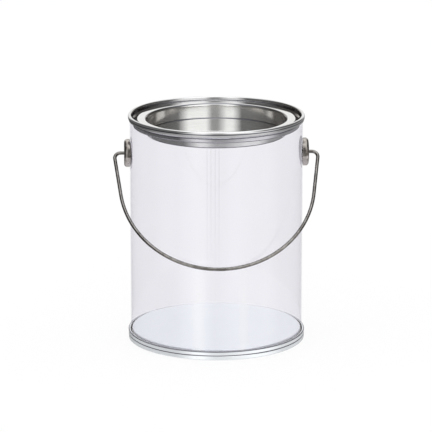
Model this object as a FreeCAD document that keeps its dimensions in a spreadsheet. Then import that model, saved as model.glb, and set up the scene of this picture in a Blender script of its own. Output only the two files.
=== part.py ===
import FreeCAD, Part
import math
import os
import Sketcher
from types import SimpleNamespace

# One-litre clear plastic paint can with tinplate ends, friction plug lid and wire bail.
# Frame: Z up, origin on the can's axis in the plane it stands on, ears on -X and +X,
# bail resting against the front (-Y). All lengths in millimetres.

SIZES = [
    ("overall_height", 143.4, "foot to top of chime"),
    ("tinplate", 0.3, "steel thickness of the ends and lid"),
    ("chuck_radius", 52.95, "chuck wall beside both seams, middle of sheet"),
    ("hook_bend", 0.25, "fold of the sheet into its hook"),
    ("top_seam_radius", 55.0, "outside of the top seam"),
    ("top_seam_height", 3.3, "height of the top seam"),
    ("top_seam_bend", 0.9, "rounding of the top seam's crest"),
    ("top_hook_inset", 0.54, "outer layer of the top seam to its hook, middle to middle"),
    ("top_hook_length", 1.5, "length of the hook inside the top seam"),
    ("base_seam_radius", 55.5, "outside of the bottom seam"),
    ("base_seam_height", 5.4, "height of the bottom seam"),
    ("base_hook_inset", 1.0, "outer layer of the bottom seam to its hook, middle to middle"),
    ("wall_radius", 54.0, "outside of the clear body"),
    ("wall_sheet", 0.5, "thickness of the clear body sheet"),
    ("wall_foot", 2.2, "foot to the lower edge of the body sheet"),
    ("wall_top_depth", 1.7, "crest to the upper edge of the body sheet"),
    ("lap_width", 8.0, "overlap of the body sheet"),
    ("lap_ramp", 2.5, "run over which the overlap steps out"),
    ("lap_end_gap", 0.6, "seam to end of overlap"),
    ("seal_bed", 0.6, "sealing compound beyond the sheet's edge"),
    ("top_seal_skirt", 1.2, "sealing compound down either side of the sheet's upper edge"),
    ("base_seal_skirt", 2.4, "sealing compound up either side of the sheet's lower edge"),
    ("neck_radius", 51.8, "outer wall of the channel, middle of sheet"),
    ("neck_depth", 4.7, "crest to where the chuck wall has stepped in"),
    ("neck_bend", 1.0, "bends of that step"),
    ("channel_depth", 7.35, "crest to floor of the ring's channel, middle of sheet"),
    ("channel_inner", 48.1, "inner corner of the channel floor"),
    ("channel_bend", 0.8, "bends of the channel"),
    ("bead_depth", 3.0, "crest to mouth bead"),
    ("bead_outer", 47.5, "outer side of the mouth bead"),
    ("bead_bend", 1.3, "rounding of the mouth bead"),
    ("mouth_radius", 43.8, "bore of the ring that the plug fits"),
    ("mouth_depth", 8.8, "crest to lower edge of the mouth"),
    ("hem_bend", 0.45, "rolled lower edge of the mouth"),
    ("hem_width", 1.0, "mouth wall to its upturned hem, middle to middle"),
    ("hem_length", 1.2, "upturned end of the mouth's hem"),
    ("plug_clearance", 0.04, "running gap between plug and mouth"),
    ("flange_depth", 2.7, "crest to lid flange, middle of sheet"),
    ("flange_bend", 1.5, "bend from flange to plug wall"),
    ("lid_radius", 49.35, "lid curl, middle of sheet"),
    ("curl_drop", 1.75, "height of the lid curl"),
    ("curl_width", 1.15, "width of the lid curl"),
    ("curl_return", 0.8, "upturned end of the lid curl"),
    ("curl_bend", 0.5, "bends of the lid curl"),
    ("panel_depth", 12.3, "crest to sunken panel, middle of sheet"),
    ("panel_bend", 0.8, "bend from plug wall to panel"),
    ("groove_height", 2.9, "foot to groove around the bottom seam"),
    ("groove_inset", 0.4, "depth of that groove"),
    ("groove_bend", 0.35, "bends of that groove"),
    ("groove_spread", 0.5, "half height of that groove"),
    ("floor_height", 6.75, "foot to can bottom, middle of sheet"),
    ("foot_bend", 0.6, "rounding of the standing edge"),
    ("ear_height", 118.8, "foot to the bail's pivot"),
    ("ear_face", 57.3, "axis of can to face of ear, middle of sheet"),
    ("ear_radius", 8.6, "ear cap, middle of sheet"),
    ("ear_sheet", 0.4, "thickness of cap, plate and washer"),
    ("ear_bend", 1.7, "rounding of the ear cap"),
    ("washer_radius", 10.25, "backing washer inside the can"),
    ("rivet_radius", 1.6, "rivet shank"),
    ("rivet_head", 2.9, "both rivet heads"),
    ("rivet_head_height", 0.7, "thickness of a rivet head"),
    ("wire_radius", 1.1, "bail wire"),
    ("wire_clearance", 0.08, "running gap of the wire in the ear"),
    ("upset_radius", 2.2, "upset end that holds the wire in the ear"),
    ("upset_height", 0.9, "thickness of the upset end"),
    ("upset_gap", 0.06, "upset end to inside of ear cap"),
    ("shoulder", 63.8, "axis of can to top of the bail's leg"),
    ("shoulder_bend", 3.6, "bend where the wire turns down"),
    ("bow_drop", 82.05, "pivot to the middle of the bow"),
    ("bow_radius", 60.3, "radius of the bow"),
    ("rest_gap", 0.05, "bow to the wall it leans on"),
]
SHEET = "Sizes"


class Size:
    """A number together with the sheet expression it comes from."""

    def __init__(self, value, text):
        self.value = value
        self.text = text

    def joined(self, other, sign, value):
        text = other.text if isinstance(other, Size) else repr(other)
        return Size(value, f"({self.text} {sign} {text})")

    def __add__(self, other):
        return self.joined(other, "+", self.value + number(other))

    def __sub__(self, other):
        return self.joined(other, "-", self.value - number(other))

    def __mul__(self, other):
        return self.joined(other, "*", self.value * number(other))

    def __truediv__(self, other):
        return self.joined(other, "/", self.value / number(other))

    def __neg__(self):
        return Size(-self.value, f"(0 mm - {self.text})")


def number(size):
    return size.value if isinstance(size, Size) else size


ZERO = Size(0.0, "0 mm")
doc = FreeCAD.newDocument("paint_can")


def size_sheet():
    """The driving dimensions as named cells; returns them as Size values."""
    sheet = doc.addObject("Spreadsheet::Sheet", SHEET)
    found = {}
    for row, (alias, value, meaning) in enumerate(SIZES, 1):
        sheet.set(f"A{row}", meaning)
        sheet.set(f"B{row}", str(value))
        sheet.setAlias(f"B{row}", alias)
        found[alias] = Size(value, f"({SHEET}.{alias} * 1 mm)")
    doc.recompute()
    return SimpleNamespace(**found)


dim = size_sheet()
rim = dim.overall_height
half_sheet = dim.tinplate / 2


def bind(target, path, size):
    target.setExpression(path, size.text)


def fix_point(sketch, geometry, end, point):
    """Hold one sketch point at its two sheet sizes."""
    for axis, size in zip(("DistanceX", "DistanceY"), point):
        constraint = Sketcher.Constraint(axis, -1, 1, geometry, end, number(size))
        bind(sketch, f"Constraints[{sketch.addConstraint(constraint)}]", size)


def fix_radius(sketch, curve, radius):
    index = sketch.addConstraint(Sketcher.Constraint("Radius", curve, number(radius)))
    bind(sketch, f"Constraints[{index}]", radius)


def rounded_corner(before, corner, after, radius):
    """Arc tangent to both legs of a corner, with the points where it starts and ends."""
    to_before = (before - corner).normalize()
    to_after = (after - corner).normalize()
    half_angle = to_before.getAngle(to_after) / 2
    reach = radius / math.tan(half_angle)
    middle = (to_before + to_after).normalize()
    centre = corner + middle * (radius / math.sin(half_angle))
    start = corner + to_before * reach
    finish = corner + to_after * reach
    return Part.Arc(start, centre - middle * radius, finish), start, finish


def end_at(sketch, curve, point):
    """Which end of a sketch curve, 1 or 2, lies at the point."""
    return 1 if sketch.getPoint(curve, 1).isEqual(point, 1e-6) else 2


def add_tangent_arc(sketch, arc, start, line_before, line_after):
    """Put an arc between the end of one line and the start of the next."""
    curve = sketch.addGeometry(arc, False)
    first = end_at(sketch, curve, start)
    sketch.addConstraint(Sketcher.Constraint("Tangent", line_before, 2, curve, first))
    sketch.addConstraint(Sketcher.Constraint("Tangent", curve, 3 - first, line_after, 1))
    return curve


def fix_corner(sketch, place, corner, lines):
    """Hold the point where two lines would meet if their bend were sharp."""
    point = sketch.addGeometry(Part.Point(place), True)
    fix_point(sketch, point, 1, corner)
    for line in lines:
        sketch.addConstraint(Sketcher.Constraint("PointOnObject", point, 1, line))


def draw_path(sketch, corners):
    """An open line through corners (across, up, bend), each inner corner rounded to its bend."""
    places = [FreeCAD.Vector(number(across), number(up), 0) for across, up, _ in corners]
    inner = range(1, len(corners) - 1)
    bends = [rounded_corner(*places[i - 1 : i + 2], number(corners[i][2])) for i in inner]
    starts = [places[0]] + [finish for _, _, finish in bends]
    ends = [start for _, start, _ in bends] + [places[-1]]
    lines = [
        sketch.addGeometry(Part.LineSegment(start, end), False)
        for start, end in zip(starts, ends)
    ]
    fix_point(sketch, lines[0], 1, corners[0][:2])
    fix_point(sketch, lines[-1], 2, corners[-1][:2])
    for i, (arc, start, _) in zip(inner, bends):
        curve = add_tangent_arc(sketch, arc, start, lines[i - 1], lines[i])
        fix_radius(sketch, curve, corners[i][2])
        fix_corner(sketch, places[i], corners[i][:2], lines[i - 1 : i + 1])


def draw_outline(sketch, corners):
    """A closed outline of straight lines with every corner at its sheet sizes."""
    places = [FreeCAD.Vector(number(across), number(up), 0) for across, up in corners]
    lines = [
        sketch.addGeometry(Part.LineSegment(start, end), False)
        for start, end in zip(places, places[1:] + places[:1])
    ]
    for index, corner in enumerate(corners):
        joint = Sketcher.Constraint("Coincident", lines[index - 1], 2, lines[index], 1)
        sketch.addConstraint(joint)
        fix_point(sketch, lines[index], 1, corner)


def half_plane_sketch(name):
    """A sketch whose axes are radius and height."""
    sketch = doc.addObject("Sketcher::SketchObject", name)
    sketch.Placement.Rotation = FreeCAD.Rotation(FreeCAD.Vector(1, 0, 0), 90)
    return sketch


def spun(name, section):
    """A half-plane section turned about Z."""
    turned = doc.addObject("Part::Revolution", name)
    turned.Source = section
    turned.Axis = FreeCAD.Vector(0, 0, 1)
    turned.Angle = 360
    turned.Solid = True
    return turned


def spun_sheet(name, corners, thickness):
    """Sheet metal drawn as the line through the middle of the sheet, thickened and turned."""
    sketch = half_plane_sketch(f"{name}_line")
    draw_path(sketch, corners)
    section = doc.addObject("Part::Offset2D", f"{name}_section")
    section.Source = sketch
    section.Fill = True
    bind(section, "Value", thickness / 2)
    return spun(name, section)


def spun_solid(name, corners):
    """A solid ring turned from a straight-sided outline."""
    sketch = half_plane_sketch(f"{name}_outline")
    draw_outline(sketch, corners)
    return spun(name, sketch)


def cylinder(name, radius, height, base=ZERO):
    made = doc.addObject("Part::Cylinder", name)
    bind(made, "Radius", radius)
    bind(made, "Height", height)
    bind(made, "Placement.Base.z", base)
    return made


def cross_cylinder(name, radius, length):
    """A cylinder lying along X, its middle at the origin."""
    made = cylinder(name, radius, length)
    made.Placement.Rotation = FreeCAD.Rotation(FreeCAD.Vector(0, 1, 0), 90)
    bind(made, "Placement.Base.x", -(length / 2))
    return made


def boolean(kind, name, base, tool):
    made = doc.addObject(f"Part::{kind}", name)
    made.Base = base
    made.Tool = tool
    return made


def bent_disc(name, inside, thickness, radius):
    """A round disc on Z, curved to a cylinder along X with the given inside radius."""
    span = radius * 3
    outer = cross_cylinder(f"{name}_outside", inside + thickness, span)
    inner = cross_cylinder(f"{name}_inside", inside, span)
    shell = boolean("Cut", f"{name}_shell", outer, inner)
    blank = cylinder(f"{name}_blank", radius, inside + thickness * 2)
    return boolean("Common", f"{name}_disc", shell, blank)


def origin_plane(body, role):
    return next(item for item in body.Origin.OriginFeatures if item.Role == role)


def body_sketch(body, name, role, offset=ZERO):
    """A sketch on one of the body's origin planes, moved along the plane's normal."""
    sketch = body.newObject("Sketcher::SketchObject", name)
    sketch.AttachmentSupport = [(origin_plane(body, role), "")]
    sketch.MapMode = "FlatFace"
    bind(sketch, ".AttachmentOffset.Base.z", offset)
    return sketch


def add_circle(sketch, radius):
    """A circle about the sketch's origin."""
    normal = FreeCAD.Vector(0, 0, 1)
    circle = sketch.addGeometry(Part.Circle(FreeCAD.Vector(), normal, number(radius)), False)
    sketch.addConstraint(Sketcher.Constraint("Coincident", circle, 3, -1, 1))
    fix_radius(sketch, circle, radius)


def add_pad(body, name, sketch, length):
    pad = body.newObject("PartDesign::Pad", name)
    pad.Profile = sketch
    bind(pad, "Length", length)
    body.Tip = pad


# ---- the can ----


def top_ring():
    """Chime, channel and mouth bead in one drawn ring, its outer edge hooked for the seam."""
    outer = dim.top_seam_radius - half_sheet
    hook = outer - dim.top_hook_inset
    seam_end = rim - dim.top_seam_height
    crest = rim - half_sheet
    channel = rim - dim.channel_depth
    bead = rim - dim.bead_depth
    mouth = dim.mouth_radius + half_sheet
    hem = mouth + dim.hem_width
    mouth_end = rim - dim.mouth_depth
    corners = [
        (hook, seam_end + dim.top_hook_length, None),
        (hook, seam_end, dim.hook_bend),
        (outer, seam_end, dim.hook_bend),
        (outer, crest, dim.top_seam_bend),
        (dim.chuck_radius, crest, dim.top_seam_bend),
        (dim.chuck_radius, seam_end, dim.neck_bend),
        (dim.neck_radius, rim - dim.neck_depth, dim.neck_bend),
        (dim.neck_radius, channel, dim.channel_bend),
        (dim.channel_inner, channel, dim.channel_bend),
        (dim.bead_outer, bead, dim.bead_bend),
        (mouth, bead, dim.bead_bend),
        (mouth, mouth_end, dim.hem_bend),
        (hem, mouth_end, dim.hem_bend),
        (hem, mouth_end + dim.hem_length, None),
    ]
    return spun_sheet("top_ring", corners, dim.tinplate)


def bottom_end():
    """Recessed bottom whose seam, with a groove around it, is also what the can stands on."""
    outer = dim.base_seam_radius - half_sheet
    hook = outer - dim.base_hook_inset
    foot = half_sheet
    groove = dim.groove_height
    corners = [
        (hook, groove + dim.groove_spread, None),
        (hook, dim.base_seam_height, dim.hook_bend),
        (outer, dim.base_seam_height, dim.hook_bend),
        (outer, groove + dim.groove_spread, dim.groove_bend),
        (outer - dim.groove_inset, groove, dim.groove_bend),
        (outer, groove - dim.groove_spread, dim.groove_bend),
        (outer, foot, dim.foot_bend),
        (dim.chuck_radius, foot, dim.foot_bend),
        (dim.chuck_radius, dim.floor_height, dim.panel_bend),
        (ZERO, dim.floor_height, None),
    ]
    return spun_sheet("bottom_end", corners, dim.tinplate)


def lid():
    """Friction plug lid: curled flange over the mouth bead, plug wall and sunken panel."""
    flange = rim - dim.flange_depth
    curl = flange - dim.curl_drop
    curl_inner = dim.lid_radius - dim.curl_width
    plug = dim.mouth_radius - dim.plug_clearance - half_sheet
    panel = rim - dim.panel_depth
    corners = [
        (curl_inner, curl + dim.curl_return, None),
        (curl_inner, curl, dim.curl_bend),
        (dim.lid_radius, curl, dim.curl_bend),
        (dim.lid_radius, flange, dim.curl_bend),
        (plug, flange, dim.flange_bend),
        (plug, panel, dim.panel_bend),
        (ZERO, panel, None),
    ]
    return spun_sheet("lid", corners, dim.tinplate)


def seam_seal(name, hook, edge, bed, skirt):
    """Sealing compound between chuck wall and hook, around one edge of the body sheet."""
    chuck = dim.chuck_radius + half_sheet
    wall_inside = dim.wall_radius - dim.wall_sheet
    corners = [
        (chuck, bed),
        (hook, bed),
        (hook, skirt),
        (dim.wall_radius, skirt),
        (dim.wall_radius, edge),
        (wall_inside, edge),
        (wall_inside, skirt),
        (chuck, skirt),
    ]
    return spun_solid(name, corners)


def top_seal():
    hook = dim.top_seam_radius - dim.top_hook_inset - dim.tinplate
    edge = rim - dim.wall_top_depth
    return seam_seal(
        "top_seam_seal", hook, edge, edge + dim.seal_bed, edge - dim.top_seal_skirt
    )


def base_seal():
    hook = dim.base_seam_radius - dim.base_hook_inset - dim.tinplate
    edge = dim.wall_foot
    return seam_seal(
        "bottom_seam_seal", hook, edge, edge - dim.seal_bed, edge + dim.base_seal_skirt
    )


def back_arc(sketch, radius, left, right):
    """Arc about the can's axis across its back, its ends at two sideways positions."""
    ends = [
        FreeCAD.Vector(number(across), math.sqrt(number(radius) ** 2 - number(across) ** 2), 0)
        for across in (left, right)
    ]
    middle = FreeCAD.Vector(0, number(radius), 0)
    arc = sketch.addGeometry(Part.Arc(ends[0], middle, ends[1]), False)
    sketch.addConstraint(Sketcher.Constraint("Coincident", arc, 3, -1, 1))
    fix_radius(sketch, arc, radius)
    first = end_at(sketch, arc, ends[0])
    for end, across in ((first, left), (3 - first, right)):
        constraint = Sketcher.Constraint("DistanceX", -1, 1, arc, end, number(across))
        bind(sketch, f"Constraints[{sketch.addConstraint(constraint)}]", across)
    return arc, first


def draw_lap(sketch):
    """Section of the overlap: square end on the left, ramp down to the wall on the right."""
    half_lap = dim.lap_width / 2
    root = dim.wall_radius - dim.wall_sheet / 2
    outer, outer_left = back_arc(sketch, dim.wall_radius + dim.wall_sheet, -half_lap, half_lap)
    inner, inner_left = back_arc(sketch, root, -half_lap, half_lap + dim.lap_ramp)
    for outer_end, inner_end in ((outer_left, inner_left), (3 - outer_left, 3 - inner_left)):
        ends = sketch.getPoint(outer, outer_end), sketch.getPoint(inner, inner_end)
        line = sketch.addGeometry(Part.LineSegment(*ends), False)
        sketch.addConstraint(Sketcher.Constraint("Coincident", line, 1, outer, outer_end))
        sketch.addConstraint(Sketcher.Constraint("Coincident", line, 2, inner, inner_end))


def body_wall():
    """Clear sheet rolled into a tube, overlapping at the back, with a rivet hole on either side."""
    body = doc.addObject("PartDesign::Body", "body_wall")
    tube = body_sketch(body, "tube_section", "XY_Plane", dim.wall_foot)
    add_circle(tube, dim.wall_radius)
    add_circle(tube, dim.wall_radius - dim.wall_sheet)
    add_pad(body, "tube", tube, rim - dim.wall_foot - dim.wall_top_depth)

    lap_start = dim.base_seam_height + dim.lap_end_gap
    lap_end = rim - dim.top_seam_height - dim.lap_end_gap
    lap = body_sketch(body, "lap_section", "XY_Plane", lap_start)
    draw_lap(lap)
    add_pad(body, "lap", lap, lap_end - lap_start)

    holes = body_sketch(body, "rivet_holes_section", "YZ_Plane", -(dim.wall_radius * 2))
    bind(holes, ".AttachmentOffset.Base.y", dim.ear_height)
    add_circle(holes, dim.rivet_radius)
    pocket = body.newObject("PartDesign::Pocket", "rivet_holes")
    pocket.Profile = holes
    pocket.Reversed = True
    bind(pocket, "Length", dim.wall_radius * 4)
    body.Tip = pocket
    return body


# ---- the ears, each drawn along Z and then turned to face -X or +X ----


def ear_cap(side):
    """Drawn button with a hole for the wire, its rim fitted to the round wall."""
    name = f"{side}_ear_cap"
    hole = dim.wire_radius + dim.wire_clearance + dim.ear_sheet / 2
    corners = [
        (dim.ear_radius, dim.wall_radius - dim.ear_sheet * 4, None),
        (dim.ear_radius, dim.ear_face, dim.ear_bend),
        (hole, dim.ear_face, None),
    ]
    cup = spun_sheet(f"{name}_cup", corners, dim.ear_sheet)
    can = cross_cylinder(f"{name}_can", dim.wall_radius, dim.ear_radius * 3)
    return boolean("Cut", name, cup, can)


def riveted_disc(name, inside, radius):
    """A disc bent to the can with a hole for the rivet."""
    disc = bent_disc(name, inside, dim.ear_sheet, radius)
    bore = cylinder(f"{name}_bore", dim.rivet_radius, dim.ear_face)
    return boolean("Cut", name, disc, bore)


def ear_rivet(side, under_head, over_head):
    """Rivet through plate, wall and washer with a head at either end."""
    name = f"{side}_ear_rivet"
    height = dim.rivet_head_height
    outer_head = bent_disc(f"{name}_outer", over_head, height, dim.rivet_head)
    inner_head = bent_disc(f"{name}_inner", under_head - height, height, dim.rivet_head)
    shank_length = over_head - under_head + height
    shank = cylinder(f"{name}_shank", dim.rivet_radius, shank_length, under_head - height / 2)
    headed = boolean("Fuse", f"{name}_headed", shank, outer_head)
    return boolean("Fuse", name, headed, inner_head)


def ear(side, turn):
    """The four pieces of one ear; turn is -90 on the left and 90 on the right."""
    washer_inside = dim.wall_radius - dim.wall_sheet - dim.ear_sheet
    plate_radius = dim.ear_radius - dim.ear_sheet / 2
    pieces = [
        ear_cap(side),
        riveted_disc(f"{side}_ear_plate", dim.wall_radius, plate_radius),
        riveted_disc(f"{side}_ear_washer", washer_inside, dim.washer_radius),
        ear_rivet(side, washer_inside, dim.wall_radius + dim.ear_sheet),
    ]
    for piece in pieces:
        piece.Placement.Rotation = FreeCAD.Rotation(FreeCAD.Vector(0, 1, 0), turn)
        bind(piece, "Placement.Base.z", dim.ear_height)
    return pieces


# ---- the bail ----


def draw_bow(sketch, wire_end):
    """Wire path: out of each ear, round a shoulder, down a leg and along the common bow."""
    centre_height = dim.bow_radius - dim.bow_drop
    corner = FreeCAD.Vector(-number(dim.shoulder), 0, 0)
    to_centre = FreeCAD.Vector(0, number(centre_height), 0) - corner
    radius = number(dim.bow_radius)
    leg = math.sqrt(to_centre.Length**2 - radius**2)
    turn = FreeCAD.Rotation(FreeCAD.Vector(0, 0, -1), math.degrees(math.atan2(radius, leg)))
    leg_end = corner + turn.multVec(to_centre).normalize() * leg
    end = FreeCAD.Vector(-number(wire_end), 0, 0)
    _, bend_start, bend_end = rounded_corner(end, corner, leg_end, number(dim.shoulder_bend))

    def mirrored(point):
        return FreeCAD.Vector(-point.x, point.y, 0)

    stretches = [
        (end, bend_start),
        (bend_end, leg_end),
        (mirrored(leg_end), mirrored(bend_end)),
        (mirrored(bend_start), mirrored(end)),
    ]
    lines = [sketch.addGeometry(Part.LineSegment(*ends), False) for ends in stretches]
    bottom = FreeCAD.Vector(0, -number(dim.bow_drop), 0)
    bow_arc = Part.Arc(leg_end, bottom, mirrored(leg_end))
    bow = add_tangent_arc(sketch, bow_arc, leg_end, lines[1], lines[2])
    fix_radius(sketch, bow, dim.bow_radius)
    fix_point(sketch, bow, 3, (ZERO, centre_height))
    sides = [
        (end, corner, leg_end, lines[:2], -dim.shoulder),
        (mirrored(leg_end), mirrored(corner), mirrored(end), lines[2:], dim.shoulder),
    ]
    for before, place, after, pair, across in sides:
        arc, start, _ = rounded_corner(before, place, after, number(dim.shoulder_bend))
        fix_radius(sketch, add_tangent_arc(sketch, arc, start, *pair), dim.shoulder_bend)
        fix_corner(sketch, place, (across, ZERO), pair)
    fix_point(sketch, lines[0], 1, (-wire_end, ZERO))
    fix_point(sketch, lines[3], 2, (wire_end, ZERO))


def bail_handle():
    """Round wire bent to a bow, both ends turned into the ears and upset behind their caps."""
    body = doc.addObject("PartDesign::Body", "bail_handle")
    wire_end = dim.ear_face - dim.ear_sheet / 2 - dim.upset_gap
    path = body_sketch(body, "wire_path", "XY_Plane")
    draw_bow(path, wire_end)
    section = body_sketch(body, "wire_section", "YZ_Plane", -wire_end)
    add_circle(section, dim.wire_radius)
    wire = body.newObject("PartDesign::AdditivePipe", "wire")
    wire.Profile = section
    wire.Spine = path
    body.Tip = wire
    upsets = [("left_upset", -wire_end), ("right_upset", wire_end - dim.upset_height)]
    for name, start in upsets:
        upset = body_sketch(body, f"{name}_section", "YZ_Plane", start)
        add_circle(upset, dim.upset_radius)
        add_pad(body, name, upset, dim.upset_height)
    reach = dim.wall_radius + dim.wire_radius + dim.rest_gap
    lean = math.degrees(math.asin(number(reach) / number(dim.bow_drop)))
    body.Placement.Rotation = FreeCAD.Rotation(FreeCAD.Vector(1, 0, 0), 90 - lean)
    body.setExpression("Placement.Rotation.Angle", f"90 deg - asin({(reach / dim.bow_drop).text})")
    bind(body, "Placement.Base.z", dim.ear_height)
    return body


def build():
    return [
        body_wall(),
        top_ring(),
        top_seal(),
        bottom_end(),
        base_seal(),
        *ear("left", -90),
        *ear("right", 90),
        lid(),
        bail_handle(),
    ]


def check(pieces):
    """Stop if any object failed or any piece is not one sound solid."""
    for item in doc.Objects:
        if {"Invalid", "Error"} & set(item.State):
            raise SystemExit(f"{item.Name}: {item.State}")
    for piece in pieces:
        shape = piece.Shape
        if shape.isNull() or not shape.isValid() or len(shape.Solids) != 1:
            raise SystemExit(f"{piece.Name}: not one sound solid")
    sketches = [item for item in doc.Objects if item.isDerivedFrom("Sketcher::SketchObject")]
    for sketch in sketches:
        sketch.solve()
        if not sketch.FullyConstrained:
            raise SystemExit(f"{sketch.Name}: sketch is not fully held")


def export(pieces):
    os.makedirs("parts", exist_ok=True)
    for piece in pieces:
        piece.Shape.exportStep(f"parts/{piece.Label}.step")
        box = piece.Shape.BoundBox
        low = f"{box.XMin:.1f} {box.YMin:.1f} {box.ZMin:.1f}"
        high = f"{box.XMax:.1f} {box.YMax:.1f} {box.ZMax:.1f}"
        print(f"{piece.Label}: {low} to {high}, {piece.Shape.Volume:.0f} mm3")


pieces = build()
doc.recompute()
check(pieces)
export(pieces)
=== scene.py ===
import math

import bmesh
import bpy
from mathutils import Matrix, Vector


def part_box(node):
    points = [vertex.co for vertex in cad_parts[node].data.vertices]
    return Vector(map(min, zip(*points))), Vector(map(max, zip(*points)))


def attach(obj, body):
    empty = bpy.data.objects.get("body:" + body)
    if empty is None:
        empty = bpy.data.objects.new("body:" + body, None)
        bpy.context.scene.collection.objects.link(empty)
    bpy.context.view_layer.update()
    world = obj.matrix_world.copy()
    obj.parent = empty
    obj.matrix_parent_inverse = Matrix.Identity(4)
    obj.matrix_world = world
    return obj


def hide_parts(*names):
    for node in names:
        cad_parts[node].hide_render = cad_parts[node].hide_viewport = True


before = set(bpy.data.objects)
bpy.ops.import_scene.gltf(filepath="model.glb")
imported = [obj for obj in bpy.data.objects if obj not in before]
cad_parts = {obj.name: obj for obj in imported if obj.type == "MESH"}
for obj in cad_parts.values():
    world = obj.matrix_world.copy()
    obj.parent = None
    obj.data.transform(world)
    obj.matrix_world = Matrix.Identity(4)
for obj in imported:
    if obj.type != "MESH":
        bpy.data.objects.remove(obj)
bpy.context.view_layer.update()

# One-litre clear paint can with tinplate ends, friction lid and wire bail.
# Z is up, the can stands on Z = 0, the ears face -X and +X, the bail leans on the front (-Y).

MM = 0.001
ROUND = 192  # steps around the can
BOW_STEPS = 72  # steps along the bail's bow
BEND_STEPS = 6  # steps in a quarter turn of a small bend
HOLD = 0.08 * MM  # from a bend to the point that keeps the straight beyond it flat

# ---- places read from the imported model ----

_, ring_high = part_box("top_ring")
wall_low, wall_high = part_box("body_wall")
cap_low, cap_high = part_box("right_ear_cap")

RIM = ring_high.z
EAR_HEIGHT = (cap_low.z + cap_high.z) / 2
EAR_FACE = cap_high.x
EAR_RADIUS = (cap_high.y - cap_low.y) / 2

# ---- sizes of the can ----

TINPLATE = 0.3 * MM
HALF_SHEET = TINPLATE / 2
WALL_RADIUS = 54.0 * MM
WALL_SHEET = 0.5 * MM
CHUCK_RADIUS = 52.95 * MM
TOP_SEAM_RADIUS = 55.0 * MM
TOP_SEAM_HEIGHT = 3.3 * MM
SEAM_TUCK = 0.35 * MM  # how far the foot of the top seam tucks in
BASE_SEAM_RADIUS = 55.5 * MM
BASE_SEAM_HEIGHT = 5.4 * MM
BASE_GROOVE_HEIGHT = 2.9 * MM
BASE_PANEL_HEIGHT = 6.2 * MM
CHANNEL_DEPTH = 7.35 * MM  # below the rim, as all depths are
MOUTH_RADIUS = 43.8 * MM
LID_FLANGE_DEPTH = 2.7 * MM
LID_PANEL_DEPTH = 12.3 * MM
SEAL_SHEET = 0.16 * MM
SEAL_BED = 0.6 * MM
EAR_SHEET = 0.4 * MM
WIRE_RADIUS = 1.1 * MM
BAIL_STOP = 57.04 * MM  # from the can's axis to the outer face of the wire's flattened end
BOW_DROP = 82.05 * MM  # from the pivot to the lowest point of the bow
BOW_RADIUS = 60.3 * MM


# ---- shapes ----


def rounded_path(corners):
    """Points of an open path through (across, up, bend) corners, each rounded to its bend."""
    points = [Vector(corners[0][:2])]
    for before, corner, after in zip(corners, corners[1:], corners[2:]):
        place = Vector(corner[:2])
        to_before = (Vector(before[:2]) - place).normalized()
        to_after = (Vector(after[:2]) - place).normalized()
        half_angle = to_before.angle(to_after) / 2
        middle = (to_before + to_after).normalized()
        centre = place + middle * (corner[2] / math.sin(half_angle))
        reach = corner[2] / math.tan(half_angle)
        start = place + to_before * reach - centre
        end = place + to_after * reach - centre
        turn = math.atan2(start.cross(end), start.dot(end))
        steps = max(2, math.ceil(BEND_STEPS * abs(turn) / (math.pi / 2)))
        for step in range(steps + 1):
            points.append(centre + Matrix.Rotation(turn * step / steps, 2) @ start)
    points.append(Vector(corners[-1][:2]))
    return held_straights(points)


def held_straights(points):
    """The same path with a point close to both ends of each straight, so that it shades flat."""
    held = [points[0]]
    for start, end in zip(points, points[1:]):
        along = end - start
        if along.length > 4 * HOLD:
            held += [start + along.normalized() * HOLD, end - along.normalized() * HOLD]
        held.append(end)
    return held


def thickened(path, thickness):
    """Closed outline on both sides of a path; ends on the axis stay square, others are rounded."""
    half = thickness / 2
    left, right = [], []
    for index, point in enumerate(path):
        before = path[max(index - 1, 0)]
        after = path[min(index + 1, len(path) - 1)]
        along = (after - before).normalized()
        normal = Vector((-along.y, along.x))
        left.append(point + normal * half)
        right.append(point - normal * half)
    outline = left + right[::-1]
    if path[-1].x > half:
        along = (path[-1] - path[-2]).normalized()
        outline.insert(len(left), path[-1] + along * half)
    if path[0].x > half:
        along = (path[0] - path[1]).normalized()
        outline.append(path[0] + along * half)
    return outline


def new_object(name, mesh_builder, material, sharp_angle=35.0):
    """A shaded mesh object from a filled bmesh."""
    mesh = bpy.data.meshes.new(name)
    mesh_builder.to_mesh(mesh)
    mesh_builder.free()
    for polygon in mesh.polygons:
        polygon.use_smooth = True
    mesh.set_sharp_from_angle(angle=math.radians(sharp_angle))
    made = bpy.data.objects.new(name, mesh)
    bpy.context.collection.objects.link(made)
    for entry in material if isinstance(material, list) else [material]:
        mesh.materials.append(entry)
    return made


def lathe(name, outline, material, steps=ROUND):
    """A closed (radius, height) outline turned about Z."""
    shape = bmesh.new()
    rings = []
    for step in range(steps):
        angle = 2 * math.pi * step / steps
        across = Vector((math.cos(angle), math.sin(angle), 0))
        rings.append([shape.verts.new(across * p.x + Vector((0, 0, p.y))) for p in outline])
    for ring, after in zip(rings, rings[1:] + rings[:1]):
        for index in range(len(outline)):
            shape.faces.new((ring[index - 1], after[index - 1], after[index], ring[index]))
    bmesh.ops.remove_doubles(shape, verts=shape.verts, dist=1e-7)
    bmesh.ops.recalc_face_normals(shape, faces=shape.faces)
    return new_object(name, shape, material)


def spun_sheet(name, corners, thickness, material):
    """A sheet turned about Z, from the (radius, height, bend) corners of its middle line."""
    return lathe(name, thickened(rounded_path(corners), thickness), material)


def finished(made, body, slot, *nodes):
    """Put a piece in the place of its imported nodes, on its moving body."""
    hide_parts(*nodes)
    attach(made, body)
    return made


# ---- materials ----

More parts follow.
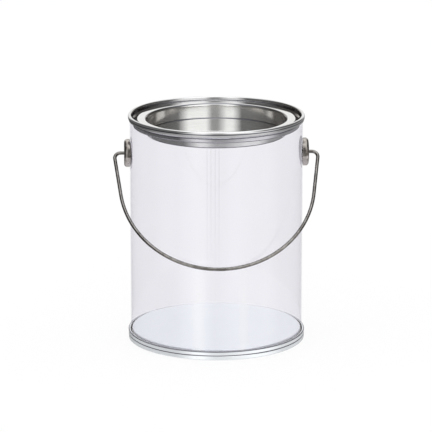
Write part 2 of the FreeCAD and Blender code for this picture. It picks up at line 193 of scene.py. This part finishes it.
# painted shade, laid into the creases of the seams and bends
CREASE_SHADE_GREY = (0.16, 0.16, 0.19)
SPECK_BROWN = (0.30, 0.27, 0.23)
# painted shade on the inner walls away from the back of the can
SIDE_SHADE_BROWN = (0.30, 0.27, 0.24)
# painted reflection of the floor, low on the ear caps
REFLECTED_FLOOR_STEEL = (0.66, 0.62, 0.60)
HAZE_GREY = (0.62, 0.62, 0.66)
# painted light: upright bands where the clear sheet's tint is blended to white
PAINTED_LIGHT_BANDS = ((-104, 5.5), (-74, 4.0))  # degrees about Z, half width in degrees


def node_material(name):
    material = bpy.data.materials.new(name)
    material.use_nodes = True
    tree = material.node_tree
    tree.nodes.clear()
    output = tree.nodes.new("ShaderNodeOutputMaterial")
    return material, tree, output


def maths(tree, operation, *inputs):
    node = tree.nodes.new("ShaderNodeMath")
    node.operation = operation
    for socket, value in zip(node.inputs, inputs):
        if isinstance(value, (int, float)):
            socket.default_value = value
        else:
            tree.links.new(value, socket)
    return node.outputs[0]


def split(tree, vector):
    node = tree.nodes.new("ShaderNodeSeparateXYZ")
    tree.links.new(vector, node.inputs[0])
    return node.outputs


def join(tree, *values):
    node = tree.nodes.new("ShaderNodeCombineXYZ")
    for socket, value in zip(node.inputs, values):
        if isinstance(value, (int, float)):
            socket.default_value = value
        else:
            tree.links.new(value, socket)
    return node.outputs[0]


def object_coordinates(tree):
    return tree.nodes.new("ShaderNodeTexCoord").outputs["Object"]


def noise(tree, vector, scale, detail=3.0, rough=0.55):
    node = tree.nodes.new("ShaderNodeTexNoise")
    node.inputs["Scale"].default_value = scale
    node.inputs["Detail"].default_value = detail
    node.inputs["Roughness"].default_value = rough
    tree.links.new(vector, node.inputs["Vector"])
    return node.outputs["Fac"]


def spread(tree, value, low, high, to_low, to_high):
    """Map a value from one range to another, held at the ends."""
    node = tree.nodes.new("ShaderNodeMapRange")
    node.inputs["From Min"].default_value = low
    node.inputs["From Max"].default_value = high
    node.inputs["To Min"].default_value = to_low
    node.inputs["To Max"].default_value = to_high
    tree.links.new(value, node.inputs["Value"])
    return node.outputs["Result"]


def blend_colours(tree, factor, first, second):
    node = tree.nodes.new("ShaderNodeMix")
    node.data_type = "RGBA"
    tree.links.new(factor, node.inputs["Factor"])
    for socket, value in ((node.inputs["A"], first), (node.inputs["B"], second)):
        if isinstance(value, tuple):
            socket.default_value = (*value, 1.0)
        else:
            tree.links.new(value, socket)
    return node.outputs["Result"]


def bump(tree, height, strength, distance):
    node = tree.nodes.new("ShaderNodeBump")
    node.inputs["Strength"].default_value = strength
    node.inputs["Distance"].default_value = distance
    tree.links.new(height, node.inputs["Height"])
    return node.outputs["Normal"]


def turned(tree):
    """Radius, height and angle about Z."""
    x, y, z = split(tree, object_coordinates(tree))
    square = maths(tree, "ADD", maths(tree, "POWER", x, 2), maths(tree, "POWER", y, 2))
    return maths(tree, "SQRT", square), z, maths(tree, "ARCTAN2", y, x)


def turning_coordinates(tree, stretch=6.0):
    """Radius, height and a slow angle: a noise on these runs in streaks around Z."""
    radius, z, angle = turned(tree)
    return join(tree, radius, z, maths(tree, "MULTIPLY", angle, stretch * MM))


def creases(tree, places):
    """Where painted shade goes: 1 on thin creases around Z, each at a height, outside a radius, with
    a half width.
    """
    radius, z, _ = turned(tree)
    share = 0.0
    for height, least_radius, half_width in places:
        away = maths(tree, "ABSOLUTE", maths(tree, "SUBTRACT", z, height))
        near = spread(tree, away, half_width * 0.6, half_width * 1.2, 1.0, 0.0)
        outside = maths(tree, "GREATER_THAN", radius, least_radius)
        share = maths(tree, "MAXIMUM", share, maths(tree, "MULTIPLY", near, outside))
    return share


def steepness(tree):
    """How far the surface is from level: 0 on a flat panel, 1 on an upright wall."""
    normal = tree.nodes.new("ShaderNodeNewGeometry").outputs["Normal"]
    level = maths(tree, "ABSOLUTE", split(tree, normal)[2])
    return maths(tree, "SUBTRACT", 1.0, level)


def side_shade(tree):
    """Where painted shade goes: 1 on inner walls except the stretch at the back of the can, 0 on
    every other surface.
    """
    place = object_coordinates(tree)
    normal = tree.nodes.new("ShaderNodeNewGeometry").outputs["Normal"]
    radius, _, _ = turned(tree)
    outward = tree.nodes.new("ShaderNodeVectorMath")
    outward.operation = "DOT_PRODUCT"
    tree.links.new(place, outward.inputs[0])
    tree.links.new(join(tree, *split(tree, normal)[:2], 0.0), outward.inputs[1])
    facing_out = maths(tree, "DIVIDE", outward.outputs["Value"], radius)
    inward = maths(tree, "LESS_THAN", facing_out, -0.5)
    backward = maths(tree, "DIVIDE", split(tree, place)[1], radius)
    return maths(tree, "MULTIPLY", inward, spread(tree, backward, 0.50, 0.86, 1.0, 0.0))


def tinplate(name, light, dark, roughness, places, streaks=0.25, metallic=1.0, drawn=0.0):
    """Bright tin-coated steel with streaks around the can, soft clouding and small specks.

    Creases at the given places get painted shade, inner walls away from the back of the can get
    painted shade too, and upright walls are duller by the drawn share."""
    material, tree, output = node_material(name)
    around = turning_coordinates(tree)
    place = object_coordinates(tree)
    fine = noise(tree, around, 1400.0, detail=5.0, rough=0.7)
    broad = noise(tree, around, 160.0)
    cloud = noise(tree, place, 35.0, detail=4.0)
    specks = noise(tree, place, 900.0, detail=2.0)
    fine_share = maths(tree, "MULTIPLY", fine, 0.45)
    tone = maths(tree, "ADD", fine_share, maths(tree, "MULTIPLY", broad, 0.55))
    colour = blend_colours(tree, spread(tree, tone, 0.35, 0.65, 0.0, 1.0), dark, light)
    colour = blend_colours(tree, spread(tree, specks, 0.70, 0.78, 0.0, 0.35), colour, SPECK_BROWN)
    # painted shade in the creases
    colour = blend_colours(tree, creases(tree, places), colour, CREASE_SHADE_GREY)
    # painted shade on the inner walls away from the back
    colour = blend_colours(tree, maths(tree, "MULTIPLY", side_shade(tree), 0.75), colour, SIDE_SHADE_BROWN)
    upright = spread(tree, steepness(tree), 0.80, 0.98, 0.0, 1.0)
    metal = spread(tree, upright, 0.0, 1.0, metallic, metallic - drawn)
    rough = spread(tree, cloud, 0.3, 0.7, roughness * 0.75, roughness * 1.3)
    rough = maths(tree, "ADD", rough, maths(tree, "MULTIPLY", upright, drawn * 0.3))
    shader = tree.nodes.new("ShaderNodeBsdfPrincipled")
    tree.links.new(metal, shader.inputs["Metallic"])
    tree.links.new(colour, shader.inputs["Base Color"])
    tree.links.new(rough, shader.inputs["Roughness"])
    tree.links.new(bump(tree, fine, streaks, 0.02 * MM), shader.inputs["Normal"])
    tree.links.new(shader.outputs[0], output.inputs["Surface"])
    return material


def surface_reflection(tree, head_on=0.045, glancing_on=0.16):
    """Share of light that a clear surface reflects, from either side: more at a glancing angle."""
    geometry = tree.nodes.new("ShaderNodeNewGeometry")
    facing = tree.nodes.new("ShaderNodeVectorMath")
    facing.operation = "DOT_PRODUCT"
    tree.links.new(geometry.outputs["Incoming"], facing.inputs[0])
    tree.links.new(geometry.outputs["Normal"], facing.inputs[1])
    glancing = maths(tree, "SUBTRACT", 1.0, maths(tree, "ABSOLUTE", facing.outputs["Value"]))
    extra = maths(tree, "MULTIPLY", maths(tree, "POWER", glancing, 5.0), glancing_on - head_on)
    return maths(tree, "ADD", extra, head_on)


def painted_light_bands(tree):
    """Two upright bands of painted light in the lower front of the sheet, with soft edges."""
    _, height, angle = turned(tree)
    share = 0.0
    for degrees, half_width in PAINTED_LIGHT_BANDS:
        away = maths(tree, "ABSOLUTE", maths(tree, "SUBTRACT", angle, math.radians(degrees)))
        band = spread(tree, away, 0.0, math.radians(half_width), 1.0, 0.0)
        share = maths(tree, "MAXIMUM", share, band)
    return maths(tree, "MULTIPLY", share, spread(tree, height, 0.030, 0.070, 1.0, 0.0))


def mixed_shaders(tree, share, first, second):
    node = tree.nodes.new("ShaderNodeMixShader")
    tree.links.new(share, node.inputs["Fac"])
    tree.links.new(first, node.inputs[1])
    tree.links.new(second, node.inputs[2])
    return node.outputs[0]


def clear_sheet(name, tint, haze=0.0):
    """Clear plastic: light goes straight through, and the surface adds its own reflection.

    A hazy sheet is also a little grey, more so from 40 to 90 mm above the floor."""
    material, tree, output = node_material(name)
    place = object_coordinates(tree)
    cloud = noise(tree, place, 22.0, detail=4.0)
    scuff = noise(tree, place, 420.0, detail=6.0, rough=0.7)
    waves = noise(tree, place, 45.0, detail=2.0)
    low = tuple(channel * 0.985 for channel in tint)
    colour = blend_colours(tree, cloud, low, tint)
    # painted light: two upright bands low on the front, blended to white
    colour = blend_colours(tree, painted_light_bands(tree), colour, (1.0, 1.0, 1.0))
    through = tree.nodes.new("ShaderNodeBsdfTransparent")
    tree.links.new(colour, through.inputs["Color"])
    gloss = tree.nodes.new("ShaderNodeBsdfGlossy")
    tree.links.new(spread(tree, scuff, 0.45, 0.8, 0.03, 0.16), gloss.inputs["Roughness"])
    tree.links.new(bump(tree, waves, 0.15, 0.2 * MM), gloss.inputs["Normal"])
    surface = mixed_shaders(tree, surface_reflection(tree), through.outputs[0], gloss.outputs[0])
    if haze:
        dull = tree.nodes.new("ShaderNodeBsdfDiffuse")
        dull.inputs["Color"].default_value = (*HAZE_GREY, 1.0)
        share = spread(tree, split(tree, place)[2], 0.04, 0.09, 0.0, haze)
        surface = mixed_shaders(tree, share, surface, dull.outputs[0])
    tree.links.new(surface, output.inputs["Surface"])
    return material


def nickel(name, light, dark, roughness, metallic=1.0, painted_reflection_below=False):
    """Plated steel with a clouded tone and fine scratches.

    Below the ears' centre the steel can be painted lighter, a painted reflection of the floor, and
    made rougher."""
    material, tree, output = node_material(name)
    place = object_coordinates(tree)
    cloud = noise(tree, place, 260.0, 4.0)
    scratches = noise(tree, place, 3200.0, 3.0, 0.75)
    colour = blend_colours(tree, spread(tree, cloud, 0.35, 0.65, 0.0, 1.0), dark, light)
    shader = tree.nodes.new("ShaderNodeBsdfPrincipled")
    shader.inputs["Metallic"].default_value = metallic
    rough = spread(tree, scratches, 0.3, 0.7, roughness * 0.7, roughness * 1.5)
    # painted reflection of the floor below the ears' centre, where the steel is also rougher
    if painted_reflection_below:
        height = split(tree, place)[2]
        below_centre = spread(tree, height, EAR_HEIGHT - 1.4 * MM, EAR_HEIGHT - 0.8 * MM, 1.0, 0.0)
        colour = blend_colours(tree, below_centre, colour, REFLECTED_FLOOR_STEEL)
        rough = maths(tree, "ADD", rough, maths(tree, "MULTIPLY", below_centre, 0.22))
    tree.links.new(colour, shader.inputs["Base Color"])
    tree.links.new(rough, shader.inputs["Roughness"])
    tree.links.new(bump(tree, scratches, 0.2, 0.02 * MM), shader.inputs["Normal"])
    tree.links.new(shader.outputs[0], output.inputs["Surface"])
    return material


def rubbery(name, light, dark):
    """Dull sealing compound."""
    material, tree, output = node_material(name)
    grain = noise(tree, object_coordinates(tree), 700.0, 4.0)
    shader = tree.nodes.new("ShaderNodeBsdfPrincipled")
    tree.links.new(blend_colours(tree, grain, dark, light), shader.inputs["Base Color"])
    shader.inputs["Roughness"].default_value = 0.7
    tree.links.new(bump(tree, grain, 0.4, 0.05 * MM), shader.inputs["Normal"])
    tree.links.new(shader.outputs[0], output.inputs["Surface"])
    return material


# creases that get painted shade are (height, least radius, half width)
RING_TIN = tinplate(
    "ring_tinplate", (0.84, 0.84, 0.85), (0.70, 0.70, 0.71), 0.08,
    [
        (RIM - 1.75 * MM, 54.5 * MM, 0.35 * MM),
        (RIM - 4.80 * MM, 51.5 * MM, 0.35 * MM),
        (RIM - CHANNEL_DEPTH, 50.6 * MM, 0.40 * MM),
    ],
)
LID_TIN = tinplate(
    "lid_tinplate", (0.87, 0.87, 0.865), (0.78, 0.78, 0.77), 0.06,
    [
        (RIM - LID_PANEL_DEPTH + 0.2 * MM, 42.6 * MM, 0.35 * MM),
        (RIM - LID_FLANGE_DEPTH - 0.25 * MM, 43.0 * MM, 0.28 * MM),
    ],
    drawn=0.1,
)
BASE_TIN = tinplate(
    "base_tinplate", (0.95, 0.98, 1.0), (0.91, 0.94, 0.98), 0.12,
    [
        (BASE_GROOVE_HEIGHT, 54.5 * MM, 0.34 * MM),
        (BASE_SEAM_HEIGHT, 54.8 * MM, 0.36 * MM),
    ],
    streaks=0.1, metallic=0.47,
)
CLEAR = clear_sheet("clear_plastic", (0.989, 0.9865, 1.0))
CLEAR_EDGE = clear_sheet("clear_plastic_edge", (0.955, 0.95, 0.97), haze=0.12)
# the ear caps carry a painted reflection of the floor below their centre
EAR_NICKEL = nickel("ear_nickel", (0.50, 0.47, 0.44), (0.14, 0.12, 0.11), 0.08, painted_reflection_below=True)
WASHER_NICKEL = nickel("washer_nickel", (0.92, 0.91, 0.93), (0.80, 0.79, 0.82), 0.25, metallic=0.15)
WIRE_STEEL = nickel("wire_steel", (0.38, 0.365, 0.35), (0.20, 0.19, 0.18), 0.10)
SEAL = rubbery("seal_compound", (0.66, 0.65, 0.62), (0.48, 0.47, 0.45))


# ---- the can ----


def top_ring():
    """Seam, stepped-in chuck wall, channel and mouth bead; the seam's foot tucks in a little."""
    outer = TOP_SEAM_RADIUS - HALF_SHEET
    foot = outer - SEAM_TUCK
    hook = foot - 0.54 * MM
    seam_end = RIM - TOP_SEAM_HEIGHT
    crest = RIM - HALF_SHEET
    neck = 51.8 * MM
    channel = RIM - CHANNEL_DEPTH
    bead = RIM - 3.0 * MM
    mouth = MOUTH_RADIUS + HALF_SHEET
    mouth_end = RIM - 8.8 * MM
    hem = mouth + 1.0 * MM
    corners = [
        (hook, seam_end + 1.5 * MM, 0),
        (hook, seam_end, 0.25 * MM),
        (foot, seam_end, 0.25 * MM),
        (outer, seam_end + 1.4 * MM, 1.2 * MM),
        (outer, crest, 0.9 * MM),
        (CHUCK_RADIUS, crest, 0.9 * MM),
        (CHUCK_RADIUS, seam_end, 1.0 * MM),
        (neck, RIM - 4.7 * MM, 1.0 * MM),
        (neck, channel, 0.8 * MM),
        (48.1 * MM, channel, 0.8 * MM),
        (47.5 * MM, bead, 1.3 * MM),
        (mouth, bead, 1.3 * MM),
        (mouth, mouth_end, 0.45 * MM),
        (hem, mouth_end, 0.45 * MM),
        (hem, mouth_end + 1.2 * MM, 0),
    ]
    made = spun_sheet("chime_ring", corners, TINPLATE, RING_TIN)
    return finished(made, "can", "tinplate", "top_ring")


def bottom_end():
    """Base seam with a rolled groove, chuck wall and flat panel."""
    outer = BASE_SEAM_RADIUS - HALF_SHEET
    hook = outer - 1.0 * MM
    groove = BASE_GROOVE_HEIGHT
    groove_half = 0.5 * MM
    panel = BASE_PANEL_HEIGHT
    corners = [
        (hook, groove + groove_half, 0),
        (hook, BASE_SEAM_HEIGHT, 0.25 * MM),
        (outer, BASE_SEAM_HEIGHT, 0.25 * MM),
        (outer, groove + groove_half, 0.35 * MM),
        (outer - 0.4 * MM, groove, 0.35 * MM),
        (outer, groove - groove_half, 0.35 * MM),
        (outer, HALF_SHEET, 0.6 * MM),
        (CHUCK_RADIUS, HALF_SHEET, 0.6 * MM),
        (CHUCK_RADIUS, panel, 0.6 * MM),
        (0, panel, 0),
    ]
    made = spun_sheet("can_bottom", corners, TINPLATE, BASE_TIN)
    return finished(made, "can", "tinplate", "bottom_end")


def seam_seal(name, node, edge, bed, skirt):
    """Ring of compound over a wall's edge, from its bed past the edge to its skirt on both sides."""
    chuck = CHUCK_RADIUS + HALF_SHEET
    hook = WALL_RADIUS + SEAL_SHEET
    inside = WALL_RADIUS - WALL_SHEET
    outline = [
        (chuck, bed), (hook, bed), (hook, skirt), (WALL_RADIUS, skirt),
        (WALL_RADIUS, edge), (inside, edge), (inside, skirt), (chuck, skirt),
    ]
    made = lathe(name, [Vector(corner) for corner in outline], SEAL)
    return finished(made, "can", "seal", node)


def lid():
    """Curled edge, flat flange, plug wall and sunken panel."""
    flange = RIM - LID_FLANGE_DEPTH
    curl = flange - 1.75 * MM
    curl_outer = 49.35 * MM
    curl_inner = curl_outer - 1.15 * MM
    plug = MOUTH_RADIUS - 0.04 * MM - HALF_SHEET
    panel = RIM - LID_PANEL_DEPTH
    corners = [
        (curl_inner, curl + 0.8 * MM, 0),
        (curl_inner, curl, 0.5 * MM),
        (curl_outer, curl, 0.5 * MM),
        (curl_outer, flange, 0.5 * MM),
        (plug, flange, 1.5 * MM),
        (plug, panel, 0.8 * MM),
        (0, panel, 0),
    ]
    made = spun_sheet("friction_lid", corners, TINPLATE, LID_TIN)
    return finished(made, "lid", "lid_tinplate", "lid")


def around_axis(angle, radius, height):
    return math.cos(angle) * radius, math.sin(angle) * radius, height


def wall_marks():
    """(offset around the can, rise above the plain tube, starts a line) across the lap."""
    line = 0.3 * MM
    half = 4.0 * MM  # of the lap
    weld = 1.2 * MM
    ramp = 2.5 * MM
    step = 0.02 * MM
    return [
        (-half - step, 0.0, True),
        (-half, WALL_SHEET, True),
        (-half + line, WALL_SHEET, False),
        (-weld - line, WALL_SHEET, True),
        (-weld, WALL_SHEET, False),
        (weld, WALL_SHEET, True),
        (weld + line, WALL_SHEET, False),
        (half - line, WALL_SHEET, True),
        (half, WALL_SHEET, False),
        (half + ramp, 0.0, False),
    ]


def body_wall():
    """Rolled clear sheet: a tube whose outside steps out over the welded overlap at the back."""
    back = math.pi / 2
    marks = [
        (back + offset / WALL_RADIUS, WALL_RADIUS + rise, line) for offset, rise, line in wall_marks()
    ]
    margin = 0.01
    lap_start = marks[0][0] - margin
    lap_end = marks[-1][0] + margin
    angles = [2 * math.pi * step / ROUND for step in range(ROUND)]
    plain = [(angle, WALL_RADIUS, False) for angle in angles if not lap_start < angle < lap_end]
    outside = sorted(plain + marks)
    inside = WALL_RADIUS - WALL_SHEET
    shape = bmesh.new()
    outer, inner = [], []
    for z in (wall_low.z, wall_high.z):
        outer.append([shape.verts.new(around_axis(angle, radius, z)) for angle, radius, _ in outside])
        inner.append([shape.verts.new(around_axis(angle, inside, z)) for angle, _, _ in outside])
    for index, (_, _, line) in enumerate(outside):
        after = (index + 1) % len(outside)
        wall = shape.faces.new((outer[0][index], outer[0][after], outer[1][after], outer[1][index]))
        shape.faces.new((inner[0][after], inner[0][index], inner[1][index], inner[1][after]))
        top = shape.faces.new((outer[1][index], outer[1][after], inner[1][after], inner[1][index]))
        foot = shape.faces.new((outer[0][after], outer[0][index], inner[0][index], inner[0][after]))
        top.material_index = foot.material_index = 1
        wall.material_index = 1 if line else 0
    made = new_object("clear_wall", shape, [CLEAR, CLEAR_EDGE], 30.0)
    return finished(made, "can", "clear_plastic", "body_wall")


# ---- the ears ----


def facing(made, side):
    """Turn a piece drawn along Z to face +X or -X at the ears' height."""
    turn = Matrix.Rotation(side * math.pi / 2, 4, "Y")
    made.data.transform(Matrix.Translation((0, 0, EAR_HEIGHT)) @ turn)
    made.data.update()
    return made


def fit_to_can(made, radius):
    """Move every point of a piece drawn flat on Z so that its foot follows the can's curve."""
    for vertex in made.data.vertices:
        sideways = vertex.co.y
        vertex.co.z += math.sqrt(radius**2 - sideways**2) - radius


def ear_cap(word, side):
    """Drawn button around the wire's end, with its foot cut to the can's curve."""
    hole = WIRE_RADIUS + 0.08 * MM + EAR_SHEET / 2
    middle = EAR_RADIUS - EAR_SHEET / 2
    face = EAR_FACE - EAR_SHEET / 2
    corners = [
        (middle, WALL_RADIUS + EAR_SHEET / 2, 0),
        (middle, face, 1.7 * MM),
        (hole, face, 0),
    ]
    made = lathe(f"{word}_ear_button", thickened(rounded_path(corners), EAR_SHEET), EAR_NICKEL, 96)
    for vertex in made.data.vertices:
        depth = (face - vertex.co.z) / (face - WALL_RADIUS)
        sag = WALL_RADIUS - math.sqrt(WALL_RADIUS**2 - vertex.co.y**2)
        vertex.co.z -= sag * min(1.0, max(0.0, depth))
    facing(made, side)
    return finished(made, "can", "ear_steel", f"{word}_ear_cap")


def ear_inside(word, side):
    """Plate, backing washer and rivet of one ear."""
    inner = WALL_RADIUS - WALL_SHEET
    washer_foot = inner - EAR_SHEET
    plate_top = WALL_RADIUS + EAR_SHEET
    bore = 1.6 * MM
    head = 0.7 * MM
    head_edge = 0.1 * MM
    head_radius = 2.9 * MM
    head_top_radius = 2.1 * MM
    plate = bent_disc(f"{word}_ear_inner_plate", WALL_RADIUS, 8.4 * MM, bore, EAR_NICKEL)
    washer = bent_disc(f"{word}_backing_washer", washer_foot, 10.25 * MM, bore, WASHER_NICKEL)
    outline = [
        (0, washer_foot - head), (head_top_radius, washer_foot - head),
        (head_radius, washer_foot - head_edge), (head_radius, washer_foot),
        (bore, washer_foot), (bore, plate_top),
        (head_radius, plate_top), (head_radius, plate_top + head_edge),
        (head_top_radius, plate_top + head), (0, plate_top + head),
    ]
    rivet = lathe(f"{word}_rivet", [Vector(point) for point in outline], WASHER_NICKEL, 48)
    for made, node in ((plate, "plate"), (washer, "washer"), (rivet, "rivet")):
        fit_to_can(made, inner)
        facing(made, side)
        finished(made, "can", "ear_steel", f"{word}_ear_{node}")


def bent_disc(name, inside, radius, bore, material):
    """A flat ring on Z with softly broken outer edges."""
    edge = EAR_SHEET * 0.3
    outside = inside + EAR_SHEET
    outline = [
        (bore, inside), (radius - edge, inside), (radius, inside + edge),
        (radius, outside - edge), (radius - edge, outside), (bore, outside),
    ]
    return lathe(name, [Vector(point) for point in outline], material, 64)


# ---- the bail ----


def bow_path():
    """Wire centre line in its own plane: out, down a straight leg, and round the bow."""
    shoulder = 63.8 * MM
    shoulder_bend = 3.6 * MM
    corner = Vector((-shoulder, 0))
    centre = Vector((0, BOW_RADIUS - BOW_DROP))
    to_centre = centre - corner
    leg = math.sqrt(to_centre.length**2 - BOW_RADIUS**2)
    turn = math.atan2(BOW_RADIUS, leg)
    leg_end = corner + (Matrix.Rotation(-turn, 2) @ to_centre).normalized() * leg
    half = rounded_path([(-BAIL_STOP, 0, 0), (*corner, shoulder_bend), (*leg_end, 0)])
    start = math.atan2(leg_end.y - centre.y, leg_end.x - centre.x) + 2 * math.pi
    sweep = 3 * math.pi - 2 * start
    arc = []
    for step in range(1, BOW_STEPS):
        angle = start + sweep * step / BOW_STEPS
        arc.append(centre + Vector((math.cos(angle), math.sin(angle))) * BOW_RADIUS)
    return half + arc + [Vector((-p.x, p.y)) for p in reversed(half)]


def wire_along(path, radius, steps=24):
    """A round wire along a path that lies in the XY plane, as a bmesh."""
    shape = bmesh.new()
    rings = []
    for index, point in enumerate(path):
        before = path[max(index - 1, 0)]
        after = path[min(index + 1, len(path) - 1)]
        along = (after - before).normalized()
        normal = Vector((-along.y, along.x, 0))
        place = Vector((point.x, point.y, 0))
        ring = []
        for step in range(steps):
            angle = 2 * math.pi * step / steps
            offset = normal * math.cos(angle) + Vector((0, 0, math.sin(angle)))
            ring.append(shape.verts.new(place + offset * radius))
        rings.append(ring)
    for ring, after in zip(rings, rings[1:]):
        for index in range(steps):
            shape.faces.new((ring[index - 1], after[index - 1], after[index], ring[index]))
    shape.faces.new(rings[0])
    shape.faces.new(rings[-1])
    bmesh.ops.recalc_face_normals(shape, faces=shape.faces)
    return shape


def add_upset(shape, side):
    """Add the flattened end of the wire behind the ear cap."""
    length = 0.9 * MM
    radius = 2.2 * MM
    place = Matrix.Translation((side * (BAIL_STOP - length / 2), 0, 0))
    made = bmesh.ops.create_cone(
        shape, cap_ends=True, segments=32, radius1=radius, radius2=radius, depth=length,
        matrix=place @ Matrix.Rotation(math.pi / 2, 4, "Y"),
    )
    edges = {edge for vertex in made["verts"] for edge in vertex.link_edges if edge.is_manifold}
    rim_edges = [edge for edge in edges if edge.calc_face_angle(0) > 1.0]
    bmesh.ops.bevel(shape, geom=rim_edges, offset=0.2 * MM, segments=3, affect="EDGES")


def bail():
    """Wire bail, leaning on the front of the can."""
    shape = wire_along(bow_path(), WIRE_RADIUS)
    for side in (-1, 1):
        add_upset(shape, side)
    gap = 0.05 * MM
    lean = math.asin((WALL_RADIUS + WIRE_RADIUS + gap) / BOW_DROP)
    stand = Matrix.Rotation(math.pi / 2 - lean, 4, "X")
    shape.transform(Matrix.Translation((0, 0, EAR_HEIGHT)) @ stand)
    made = new_object("wire_bail", shape, WIRE_STEEL)
    return finished(made, "handle", "wire", "bail_handle")


# ---- the stage ----

CAMERA_DISTANCE = 1.700
CAMERA_HEIGHT = 0.5055
CAMERA_PITCH = math.radians(14.123)
CAMERA_TURN = math.radians(-2.2)
CAMERA_SHIFT = -0.0007
LENS = 232.9
FLOOR_GLOW = 0.85
ROOM_LIGHT = 1.3

# The studio seen in reflections. Each light or card spans (from, to, brightness), in degrees to
# the right of the camera's side, and brightness changes evenly from one to the next.
# A backdrop is (half width, brightness), behind the can.
BELOW_HORIZON = (
    (-165, -55, 0.13),  # dark card on the left
    (-30, -20, 0.95),  # strip light
    (-5, 10, 0.43),  # dim camera side
    (45, 70, 0.90),  # soft box on the right
    (95, 165, 0.30),  # grey card on the right
)
ABOVE_HORIZON = (
    (-145, -45, 0.12),  # dark card on the left
    (-30, -20, 1.15),  # strip light
    (-5, 5, 0.33),  # dim camera side
    (15, 45, 1.20),  # soft box on the right
    (65, 145, 0.12),  # dark card on the right
)
BACKDROP_BELOW = (5, 1.00)
BACKDROP_ABOVE = (20, 0.95)


def camera():
    """Long lens looking a little down at the can."""
    data = bpy.data.cameras.new("camera")
    data.sensor_width = 36.0
    data.lens = LENS
    data.shift_x = CAMERA_SHIFT
    data.clip_end = 20.0
    made = bpy.data.objects.new("camera", data)
    bpy.context.collection.objects.link(made)
    straight = Vector((0, -CAMERA_DISTANCE, CAMERA_HEIGHT))
    made.location = Matrix.Rotation(CAMERA_TURN, 3, "Z") @ straight
    made.rotation_euler = (math.pi / 2 - CAMERA_PITCH, 0, CAMERA_TURN)
    bpy.context.scene.camera = made


def ramp_around(tree, azimuth, backdrop, lights):
    """Brightness that changes with the direction around the can."""
    half_width, behind = backdrop
    levels = [(-180, behind), (half_width - 180, behind)]
    for start, end, brightness in lights:
        levels += [(start, brightness), (end, brightness)]
    levels += [(180 - half_width, behind), (180, behind)]
    ramp = tree.nodes.new("ShaderNodeValToRGB")
    tree.links.new(azimuth, ramp.inputs[0])
    stops = ramp.color_ramp.elements
    for index, (degrees, level) in enumerate(levels):
        place = (degrees + 180) / 360
        stop = stops[index] if index < 2 else stops.new(place)  # a new ramp has two stops
        stop.position = place
        stop.color = (level, level, level * 0.99, 1.0)
    return ramp.outputs[0]


def studio():
    """White surroundings to the camera; lights and dark cards in reflections."""
    world = bpy.data.worlds.new("studio")
    world.use_nodes = True
    tree = world.node_tree
    tree.nodes.clear()
    x, y, z = split(tree, tree.nodes.new("ShaderNodeTexCoord").outputs["Generated"])
    heading = maths(tree, "ARCTAN2", x, maths(tree, "MULTIPLY", y, -1.0))
    azimuth = maths(tree, "ADD", maths(tree, "DIVIDE", heading, 2 * math.pi), 0.5)
    low_ramp = ramp_around(tree, azimuth, BACKDROP_BELOW, BELOW_HORIZON)
    high_ramp = ramp_around(tree, azimuth, BACKDROP_ABOVE, ABOVE_HORIZON)
    around = blend_colours(tree, spread(tree, z, -0.06, 0.06, 0.0, 1.0), low_ramp, high_ramp)
    underfoot = spread(tree, z, -0.45, -0.75, 0.0, 1.0)
    lower = blend_colours(tree, underfoot, around, (0.62, 0.61, 0.62))
    overhead = spread(tree, z, 0.62, 0.82, 0.0, 1.0)
    aside = maths(tree, "ABSOLUTE", maths(tree, "SUBTRACT", x, 0.05))
    box = spread(tree, aside, 0.32, 0.55, 1.35, 0.45)
    glossy = blend_colours(tree, overhead, lower, join(tree, box, box, box))
    path = tree.nodes.new("ShaderNodeLightPath")
    plain = blend_colours(tree, path.outputs["Is Glossy Ray"], (ROOM_LIGHT,) * 3, glossy)
    seen = blend_colours(tree, path.outputs["Is Camera Ray"], plain, (1.0, 1.0, 1.0))
    background = tree.nodes.new("ShaderNodeBackground")
    tree.links.new(seen, background.inputs["Color"])
    output = tree.nodes.new("ShaderNodeOutputWorld")
    tree.links.new(background.outputs[0], output.inputs["Surface"])
    bpy.context.scene.world = world


def floor():
    """Pale sweep seen by the camera only, so that reflections come from the studio."""
    shape = bmesh.new()
    bmesh.ops.create_grid(shape, x_segments=1, y_segments=1, size=4.0)
    material, tree, output = node_material("pale_floor")
    grain = noise(tree, object_coordinates(tree), 3.0, 3.0)
    shader = tree.nodes.new("ShaderNodeBsdfDiffuse")
    colour = blend_colours(tree, grain, (0.11, 0.11, 0.11), (0.13, 0.13, 0.13))
    tree.links.new(colour, shader.inputs["Color"])
    glow = tree.nodes.new("ShaderNodeEmission")
    glow.inputs["Strength"].default_value = FLOOR_GLOW
    both = tree.nodes.new("ShaderNodeAddShader")
    tree.links.new(shader.outputs[0], both.inputs[0])
    tree.links.new(glow.outputs[0], both.inputs[1])
    tree.links.new(both.outputs[0], output.inputs["Surface"])
    made = new_object("floor", shape, material)
    made.location.z = -0.05 * MM
    made.visible_glossy = False


top_ring()
bottom_end()
top, foot = wall_high.z, wall_low.z
seam_seal("top_seal", "top_seam_seal", top, bed=top + SEAL_BED, skirt=top - 1.2 * MM)
seam_seal("bottom_seal", "bottom_seam_seal", foot, bed=foot - SEAL_BED, skirt=foot + 2.4 * MM)
lid()
body_wall()
for word, side in (("left", -1), ("right", 1)):
    ear_cap(word, side)
    ear_inside(word, side)
bail()
floor()
studio()
camera()
bpy.context.scene.view_settings.view_transform = "Standard"
